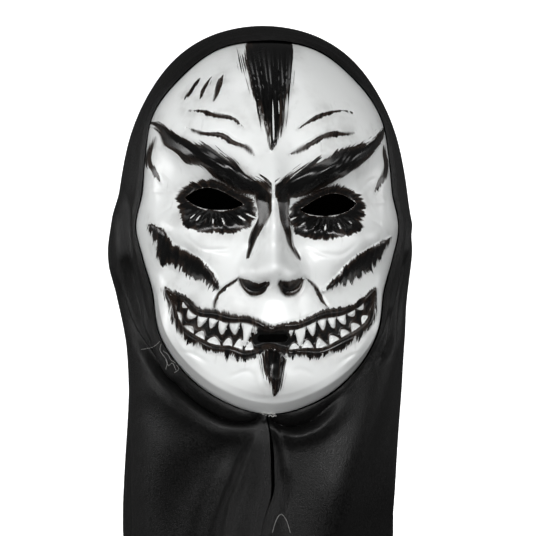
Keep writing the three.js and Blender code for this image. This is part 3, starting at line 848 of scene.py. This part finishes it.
def drawn_back(points):
    """Points with the cloth right of the crest drawn back"""
    x, y, z = np.moveaxis(points, 2, 0)
    crest = crest_x(z)
    plane = PLANE_SLOPE * (x - crest) - hood_edge_forward(crest, z)
    behind = (y + plane + np.hypot(y - plane, PLANE_ROUND)) / 2
    shown = ease(-z, *PLANE_DROP)
    return np.stack([x, y + (behind - y) * shown, z], axis=2)


def grid_out(grid):
    """Directions out of a grid that closes on itself round each row"""
    return unit(np.cross(np.gradient(grid, axis=0), np.roll(grid, -1, axis=1) - np.roll(grid, 1, axis=1)))


def folded(points):
    """Points of the hood with the folds of its front"""
    x, y, z = np.moveaxis(points, 2, 0)
    share, turn = rim_share(x, z)
    lift = HEM_ROLL * swell(((share - 1) * outline_reach(np.abs(turn)) - HEM_ROLL_OUT) / HEM_ROLL_HALF)
    over = np.zeros(x.shape)
    for fold in FOLDS:
        off, along, _ = beside(fold["line"], x, z)
        half = fold["half"][0] + (fold["half"][1] - fold["half"][0]) * along
        to_hem = fold["line"][-1][1] < -HOOD_DROP
        full, fading = fold.get("fade", FOLD_FADE)
        strength = ease(along, 0, full) * (1 if to_hem else ease(along, 1, fading))
        inside = off if fold["line"][0][0] < fold["line"][-1][0] else -off
        inner_half = half * np.where(inside > 0, fold.get("slope", 1), 1)
        lift += fold["lift"] * strength * np.exp(-((off / inner_half) ** 2))
        over += fold.get("over", 0) * strength * np.exp(-((inside / half - 1) ** 2))
    outward = np.stack([np.sin(turn), np.zeros(x.shape), np.cos(turn)], axis=2)
    moved = lift[:, :, None] * grid_out(points) + over[:, :, None] * outward
    return points + moved * ease(-y, *FOLD_FORWARD)[:, :, None]


def lapped(points):
    """Points with the front edges parted below the chin, and the left one over the right at the hem"""
    x, y, z = points.T
    off = x - slit_x(z)
    shown = ease(-z, *LAP_DROP) * ease(-y, *LAP_FORWARD)
    near = np.clip(1 - np.abs(off) / LAP_REACH, 0, 1) ** 2 * shown
    across = np.interp(z, LAP_HEIGHT, LAP_OVER) * np.sign(off) * near
    left_out = LAP_OUT * ease(off, *LAP_OUT_FADE)
    right_in = LAP_IN * ease(off, *LAP_IN_FADE)
    outward = np.where(off < 0, left_out, -right_in) * shown
    return np.stack([x - across, y - outward, z], axis=1)


def spread(places, gaps, shares):
    """Places at the given shares of the way along, spaced in step with the gaps"""
    counted = np.concatenate([[0], np.cumsum(2 / (gaps[1:] + gaps[:-1]))])
    return np.interp(shares, counted / counted[-1], places)


def hood_quads(turn_count, row_count):
    """Faces of the hood's grid, whose first point is the crown"""
    first = 1 + np.arange(turn_count)
    faces = [[0, a, b] for a, b in zip(first, np.roll(first, -1))]
    for row in range(row_count - 1):
        above = first + row * turn_count
        beyond = np.roll(above, -1)
        faces += np.stack([above, above + turn_count, beyond + turn_count, beyond], axis=1).tolist()
    return faces


drops = np.linspace(0, HOOD_DROP, 4000)
row_shares = np.arange(1, HOOD_ROWS + 1) / HOOD_ROWS
rows = np.sqrt(spread(drops, np.interp(drops, GAP_DROP, ROW_GAP), row_shares))
half_turns = np.linspace(0, np.pi, 2000)
turn_shares = np.arange(HOOD_TURNS // 2 + 1) / (HOOD_TURNS // 2)
right_turns = spread(half_turns, np.interp(half_turns, GAP_TURN, COLUMN_GAP), turn_shares)
turns = np.concatenate([right_turns[:-1], -right_turns[:0:-1]])
hood_grid = folded(drawn_back(hood_place(*np.meshgrid(turns, rows))))
inner_grid = (hood_grid - HOOD_WALL * grid_out(hood_grid))[1::2, ::2]
inner_grid[-1, :, 2] = hood_grid[-1, ::2, 2]
hood_points = [[[0, 0, HOOD_WALL]], hood_grid.reshape(-1, 3), [[0, 0, 0]], inner_grid.reshape(-1, 3)]
hood_count = 1 + HOOD_TURNS * HOOD_ROWS
inner_count = 1 + HOOD_TURNS * HOOD_ROWS // 4
hood_hem = hood_count - HOOD_TURNS + np.arange(HOOD_TURNS)
inner_hem = hood_count + inner_count - HOOD_TURNS // 2 + np.arange(HOOD_TURNS // 2)
hood_faces = hood_quads(HOOD_TURNS, HOOD_ROWS)
lining_faces = hood_quads(HOOD_TURNS // 2, HOOD_ROWS // 2)
hood_faces += [[hood_count + i for i in reversed(corners)] for corners in lining_faces]
hood_faces += closing_strip(hood_hem, inner_hem).tolist()
hood = new_piece("satin_hood", np.concatenate(hood_points), hood_faces)

outline_turns = np.linspace(-np.pi, np.pi, 360, endpoint=False)
wavy = 0.2 + 0.12 * np.sin(9 * outline_turns + 1) + 0.08 * np.sin(23 * outline_turns)
grown = outline_reach(np.abs(outline_turns)) + SEAT_GAP + wavy
opening = np.stack([grown * np.sin(outline_turns), FACE_MIDDLE + grown * np.cos(outline_turns)], axis=1)
slit_z = np.linspace(-360, FACE_MIDDLE - OUTLINE_REACH[-1] + 1, 40)
slit = np.concatenate([
    np.stack([slit_x(slit_z) + SLIT_WIDTH / 2, slit_z], axis=1),
    np.stack([slit_x(slit_z) - SLIT_WIDTH / 2, slit_z], axis=1)[::-1],
])
cut(hood, front_prism([opening], near=20, far=160), front_prism([slit], near=40, far=160))
lapped_points = lapped(points_of(hood.data)) * MM
hood.data.vertices.foreach_set("co", np.ascontiguousarray(lapped_points, np.float32).ravel())
hood.data.update()
hood.data.shade_smooth()
hood.data.set_sharp_from_angle(angle=HOOD_SHARP)

# Fine gathers run along the sewn rim: their reach out from it and back from the front, and the turn of the
# cheeks and half the stretch round them, in radians, where they are deepest.
GATHER_OUT = (18, 4)
GATHER_FORWARD = (-10, 20)
GATHER_TURN = 1.7
GATHER_HALF = 1.1
GATHER_LEAST = 0.35
cloth = points_of(hood.data)
rim_part, rim_turn = rim_share(cloth[:, 0], cloth[:, 2])
rim_out = (rim_part - 1) * outline_reach(np.abs(rim_turn))
at_cheeks = swell((np.abs(rim_turn) - GATHER_TURN) / GATHER_HALF)
gathered = GATHER_LEAST + (1 - GATHER_LEAST) * at_cheeks
gathered = ease(rim_out, *GATHER_OUT) * ease(-cloth[:, 1], *GATHER_FORWARD) * gathered
add_attribute(hood.data, "rim_out", "FLOAT", rim_out + 1.2 * np.sin(2.5 * rim_turn))
add_attribute(hood.data, "gathered", "FLOAT", gathered)

SATIN_DARK = (0.0002, 0.0002, 0.0002, 1)
SATIN_LIGHT = (0.0068, 0.0067, 0.0066, 1)
SATIN_GLEAM = 0.34


def black_satin():
    wires = Finish("black_satin")
    place = wires.place()
    slub = wires.noise(wires.stretch(place, (1, 1, 0.5)), 420, 3, 0.7)
    weave = wires.noise(wires.stretch(place, (1, 1, 0.7)), 1900, 1)
    speckle = wires.ramp(wires.noise(place, 1250, 2, 0.8), 0.38, 0.62)
    from_rim = wires.add("ShaderNodeCombineXYZ", {"X": wires.attribute("rim_out")}).outputs[0]
    drawn = wires.maths("MULTIPLY", wires.noise(from_rim, 0.7, 3, 0.7), wires.attribute("gathered"))
    grain = wires.maths("MULTIPLY_ADD", slub, 0.15, wires.maths("MULTIPLY", speckle, 0.85))
    colour = wires.mix(grain, SATIN_DARK, SATIN_LIGHT)
    height = wires.maths("MULTIPLY_ADD", weave, 0.4, wires.maths("MULTIPLY", speckle, 0.3))
    height = wires.maths("MULTIPLY_ADD", drawn, 2.4, height)
    bump = wires.bump(height, 0.35, 0.0006)
    rough = wires.maths("MULTIPLY_ADD", speckle, 0.2, wires.ramp(slub, 0.3, 0.7, 0.33, 0.4))
    return wires.done({
        "Base Color": colour,
        "Roughness": rough,
        "Normal": bump,
        "Specular IOR Level": SATIN_GLEAM,
    })


hood.data.materials.clear()
hood.data.materials.append(black_satin())
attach(hood, "root")
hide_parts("hood")


# The stitching
# Black thread holds down the turned front edges and the bottom hem, in rows of short stitches. A few white
# stitches tack the front edges to the chin, and loose ends of thread are left where the sewing stops.
STITCH_PITCH = 2.6
STITCH_LONG = 1.9
STITCH_THICK = 0.34
STITCH_RAISE = 0.05
STITCH_SEED = 7
# Distances of the rows from the slit and from the bottom edge, and the mesh columns left free at the slit.
FRONT_HEMS = (-4.6, 6.6)
FRONT_HEM_ENDS = (-233, -338)
BOTTOM_HEM = 9
SLIT_COLUMNS = 4
THREAD_RAISE = 0.4
TACK_THICK = 0.34
TAIL_THICK = 0.2

evaluated = bpy.context.evaluated_depsgraph_get()
hood_surface = BVHTree.FromObject(hood, evaluated)
face_surface = BVHTree.FromObject(face, evaluated)


def on_front(places, lift):
    """Places seen from the front, laid on the cloth or the face and raised a little"""
    laid = []
    for x, z in places:
        start = Vector((x, -200, z)) * MM
        hits = [surface.ray_cast(start, Vector((0, 1, 0))) for surface in (hood_surface, face_surface)]
        spot, out, _, _ = min((hit for hit in hits if hit[0]), key=lambda hit: hit[0].y)
        laid.append((spot + out * lift * MM) / MM)
    return np.array(laid)


class Sewing(Wiring):
    """Geometry nodes that make thread along lines, with named inputs for its sizes"""

    def __init__(self, name, inputs):
        super().__init__(bpy.data.node_groups.new(name, "GeometryNodeTree"))
        ends = self.tree.interface
        ends.new_socket("Geometry", in_out="INPUT", socket_type="NodeSocketGeometry")
        for title, kind in {**inputs, "Thread": "NodeSocketMaterial"}.items():
            ends.new_socket(title, in_out="INPUT", socket_type=kind)
        ends.new_socket("Geometry", in_out="OUTPUT", socket_type="NodeSocketGeometry")
        self.given = self.tree.nodes.new("NodeGroupInput").outputs

    def line(self):
        return self.add("GeometryNodeMeshToCurve", {"Mesh": self.given["Geometry"]}).outputs["Curve"]

    def done(self, geometry):
        real = self.add("GeometryNodeRealizeInstances", {"Geometry": geometry}).outputs["Geometry"]
        dye = {"Geometry": real, "Material": self.given["Thread"]}
        dyed = self.add("GeometryNodeSetMaterial", dye).outputs["Geometry"]
        self.add("NodeGroupOutput", {"Geometry": dyed})
        return self.tree


def stitch_row_tree():
    wires = Sewing("stitch_row", {
        "Pitch": "NodeSocketFloat",
        "Long": "NodeSocketFloat",
        "Thick": "NodeSocketFloat",
        "Seed": "NodeSocketInt",
    })
    given = wires.given
    along = {"Curve": wires.line(), "Length": given["Pitch"]}
    places = wires.add("GeometryNodeCurveToPoints", along, mode="LENGTH").outputs
    bead = wires.add("GeometryNodeMeshUVSphere", {"Segments": 6, "Rings": 4, "Radius": 0.5}).outputs
    share = {2: 0.8, 3: 1.15, "Seed": given["Seed"]}
    uneven = wires.add("FunctionNodeRandomValue", share, data_type="FLOAT").outputs[1]
    long = wires.maths("MULTIPLY", given["Long"], uneven)
    sizes = {"X": given["Thick"], "Y": given["Thick"], "Z": long}
    size = wires.add("ShaderNodeCombineXYZ", sizes).outputs[0]
    stitches = wires.add("GeometryNodeInstanceOnPoints", {
        "Points": places["Points"],
        "Rotation": places["Rotation"],
        "Instance": bead["Mesh"],
        "Scale": size,
    })
    return wires.done(stitches.outputs["Instances"])


def loose_thread_tree():
    wires = Sewing("loose_thread", {"Thick": "NodeSocketFloat"})
    radius = wires.maths("MULTIPLY", wires.given["Thick"], 0.5)
    ring = wires.add("GeometryNodeCurvePrimitiveCircle", {"Resolution": 6, "Radius": radius}).outputs
    parts = {"Curve": wires.line(), "Profile Curve": ring["Curve"], "Fill Caps": True}
    return wires.done(wires.add("GeometryNodeCurveToMesh", parts).outputs["Mesh"])


def sew(name, lines, tree, settings):
    """A piece made along some lines by a tree of nodes"""
    edges = []
    first = 0
    for line in lines:
        edges += [(first + i, first + i + 1) for i in range(len(line) - 1)]
        first += len(line)
    mesh = bpy.data.meshes.new(name)
    mesh.from_pydata((np.concatenate(lines) * MM).tolist(), edges, [])
    piece = bpy.data.objects.new(name, mesh)
    bpy.context.collection.objects.link(piece)
    modifier = piece.modifiers.new("sewn", "NODES")
    modifier.node_group = tree
    for item in tree.interface.items_tree:
        if item.name in settings:
            modifier[item.identifier] = settings[item.name]
    settle(piece)
    piece.data.shade_smooth()
    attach(piece, "root")


def spun_thread(name, dark, light, rough):
    wires = Finish(name)
    twist = wires.noise(wires.place(), 4000, 1)
    bump = wires.bump(twist, 0.4, 0.0001)
    return wires.done({"Base Color": wires.mix(twist, dark, light), "Roughness": rough, "Normal": bump})


black_thread = spun_thread("black_thread", (0.003, 0.003, 0.003, 1), (0.012, 0.012, 0.012, 1), 0.5)
white_thread = spun_thread("white_thread", (0.60, 0.60, 0.58, 1), (0.85, 0.85, 0.83, 1), 0.6)
grey_thread = spun_thread("grey_thread", (0.28, 0.28, 0.27, 1), (0.45, 0.45, 0.44, 1), 0.6)

hem_z = np.linspace(*FRONT_HEM_ENDS, 60)
front_places = [np.stack([slit_x(hem_z) + off, hem_z], axis=1) for off in FRONT_HEMS]
front_rows = [on_front(places, STITCH_RAISE) for places in front_places]
hem_row = np.argmin(np.abs(hood_grid[:, 0, 2] - hood_grid[-1, 0, 2] - BOTTOM_HEM))
hem_line = hood_grid[hem_row] + STITCH_RAISE * grid_out(hood_grid)[hem_row]
hem_line = np.roll(hem_line, -SLIT_COLUMNS, axis=0)[:-2 * SLIT_COLUMNS]
stitching = dict(
    Pitch=STITCH_PITCH * MM,
    Long=STITCH_LONG * MM,
    Thick=STITCH_THICK * MM,
    Seed=STITCH_SEED,
    Thread=black_thread,
)
sew("hem_stitches", [*front_rows, lapped(hem_line)], stitch_row_tree(), stitching)

# Courses of the tack and of the loose ends, drawn from the front.
TACK = [
    [(-5.6, -222.6), (-3.6, -222.0), (-1.2, -222.9), (0.4, -222.2)],
    [(-4.4, -223.6), (-2.8, -222.3), (-0.6, -223.8), (2.4, -222.6)],
    [(-1.4, -224.4), (0.2, -222.4), (1.8, -223.2), (1.0, -224.6), (-0.4, -223.5)],
    [(0.6, -221.8), (2.0, -222.6), (3.0, -224.2), (1.4, -223.9)],
    [(-3.0, -224.0), (-1.8, -223.0), (0.8, -223.0), (2.8, -223.4)],
]
TAILS = [
    [(-72, -188.5), (-68, -187.8), (-64, -185.5), (-61.5, -183)],
    [(-60.8, -184.5), (-61.4, -188), (-59.2, -191.5), (-57.4, -194.5), (-58.2, -198.8)],
    [(-59.8, -188.4), (-57, -190.6), (-55.6, -193.4), (-52.8, -195.4), (-51.2, -198.6), (-53.4, -200.4)],
    [(-58.4, -192.4), (-56.8, -196.6), (-54.6, -195.2), (-52.6, -199.2)],
]
LOW_LOOP = [(1, -290), (3.2, -283), (5.8, -279.5), (8.6, -282.5), (11, -290)]
threads = loose_thread_tree()


def thread_lines(places):
    return [on_front(route(line, 28)[0], THREAD_RAISE) for line in places]


tacking = dict(Thick=TACK_THICK * MM, Thread=white_thread)
sew("chin_tack", thread_lines(TACK), threads, tacking)
trailing = dict(Thick=TAIL_THICK * MM, Thread=grey_thread)
sew("loose_ends", thread_lines([*TAILS, LOW_LOOP]), threads, trailing)


# The floor and backdrop
# A plain pale sweep that rises behind the object.
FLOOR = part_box("hood")[0][2] - 0.001
SWEEP_FRONT = -6.0
SWEEP_BACK = 1.6
SWEEP_BEND = 0.9
SWEEP_TOP = 3.2
SWEEP_HALF = 6.0
PAPER_GLOW = 0.78
sweep_line = [(SWEEP_FRONT, FLOOR)]
for angle in np.linspace(0, math.pi / 2, 24):
    risen = FLOOR + SWEEP_BEND * (1 - math.cos(angle))
    sweep_line.append((SWEEP_BACK + SWEEP_BEND * math.sin(angle), risen))
sweep_line.append((SWEEP_BACK + SWEEP_BEND, SWEEP_TOP))
sweep_points = [(side * SWEEP_HALF, y, z) for y, z in sweep_line for side in (-1, 1)]
sweep_faces = [(2 * i, 2 * i + 1, 2 * i + 3, 2 * i + 2) for i in range(len(sweep_line) - 1)]
sweep_mesh = bpy.data.meshes.new("sweep")
sweep_mesh.from_pydata(sweep_points, [], sweep_faces)
sweep_mesh.shade_smooth()
sweep = bpy.data.objects.new("sweep", sweep_mesh)
bpy.context.collection.objects.link(sweep)
paper = Finish("pale_paper")
sweep_mesh.materials.append(paper.done({
    "Base Color": (0.92, 0.92, 0.92, 1),
    "Roughness": 0.9,
    "Emission Color": (1, 1, 1, 1),
    "Emission Strength": PAPER_GLOW,
}))
sweep.visible_glossy = False
sweep.visible_diffuse = False


# Light and camera
# Broad soft lamps in front, and a portrait lens at the height of the cheeks, turned a little to the left.
VIEW_TURN = math.radians(-3)
VIEW_AWAY = 1.6
FRAME_WIDTH = 0.308
SENSOR = 36.0
VIEW_TARGET = Vector((0.0006, -0.045, -0.1416))


def aim(thing, target):
    thing.rotation_euler = (Vector(target) - thing.location).to_track_quat("-Z", "Y").to_euler()


camera_data = bpy.data.cameras.new("camera")
camera = bpy.data.objects.new("camera", camera_data)
bpy.context.collection.objects.link(camera)
camera.location = VIEW_TARGET + VIEW_AWAY * Vector((math.sin(VIEW_TURN), -math.cos(VIEW_TURN), 0))
aim(camera, VIEW_TARGET)
camera_data.sensor_width = SENSOR
camera_data.lens = SENSOR * VIEW_AWAY / FRAME_WIDTH
bpy.context.scene.camera = camera

# The room's light on surfaces, as the camera sees it, and in reflections. Lamps that gleam show only in
# reflections, and the others only light the surfaces.
ROOM_LIGHT = 0.14
ROOM_SEEN = 1.0
ROOM_GLEAM = 0.05
LAMPS = [
    dict(name="key", place=(-1.0, -1.5, 0.35), size=(0.9, 0.9), power=7.5, gleam=False),
    dict(name="fill", place=(1.1, -1.4, 0.3), size=(0.9, 0.9), power=3.6, gleam=False),
    dict(name="low left", place=(-1.2, -1.0, -0.22), size=(0.7, 0.2), power=6, gleam=False),
    dict(name="low right", place=(1.2, -1.0, -0.22), size=(0.7, 0.2), power=2, gleam=False),
    dict(name="top", place=(0.0, -1.1, 1.2), size=(1.0, 0.6), power=3.5, gleam=False),
    dict(name="front card", place=(0, -1.7, -0.3), size=(1.4, 0.4), power=16.5, gleam=False),
    dict(name="left soft box", place=(-0.8, -1.4, 0.4), size=(0.4, 0.5), power=2, gleam=True),
    dict(name="right soft box", place=(0.9, -1.35, 0.3), size=(0.35, 0.45), power=2, gleam=True),
    dict(name="front box", place=(0.15, -1.7, 0.3), size=(0.8, 0.6), power=15, gleam=True),
    dict(name="left side", place=(-1.6, 0.35, 0.2), size=(0.5, 0.9), power=5.6, gleam=True),
    dict(name="right side", place=(1.6, 0.35, 0.2), size=(0.5, 0.9), power=3, gleam=True),
    dict(name="crown", place=(0.0, -0.1, 1.6), size=(0.8, 0.5), power=3, gleam=True),
    dict(name="back", place=(0.08, 1.5, -0.05), size=(0.12, 0.2), power=16, gleam=True),
    dict(name="paper left", place=(-1.3, 1.2, 1.2), size=(1, 1), power=18, gleam=False,
         target=(-0.4, 1.5, -0.345)),
    dict(name="paper right", place=(1.3, 1.2, 1.2), size=(1, 1), power=18, gleam=False,
         target=(0.4, 1.5, -0.345)),
]
for lamp in LAMPS:
    data = bpy.data.lights.new(lamp["name"], "AREA")
    data.shape = "ELLIPSE"
    data.size, data.size_y = lamp["size"]
    data.energy = lamp["power"]
    light = bpy.data.objects.new(lamp["name"], data)
    light.location = lamp["place"]
    light.visible_camera = False
    light.visible_diffuse = not lamp["gleam"]
    light.visible_glossy = lamp["gleam"]
    aim(light, lamp.get("target", VIEW_TARGET))
    bpy.context.collection.objects.link(light)

world = bpy.data.worlds.new("room")
world.use_nodes = True
room = Wiring(world.node_tree)
ray = room.add("ShaderNodeLightPath").outputs
strength = ROOM_LIGHT
for kind, shown in (("Is Camera Ray", ROOM_SEEN), ("Is Glossy Ray", ROOM_GLEAM)):
    strength = room.maths("MULTIPLY_ADD", ray[kind], shown - ROOM_LIGHT, strength)
background = room.tree.nodes["Background"].inputs
room.join(strength, background["Strength"])
room.join((1, 1, 1, 1), background["Color"])
bpy.context.scene.world = world
bpy.context.scene.view_settings.view_transform = "Standard"
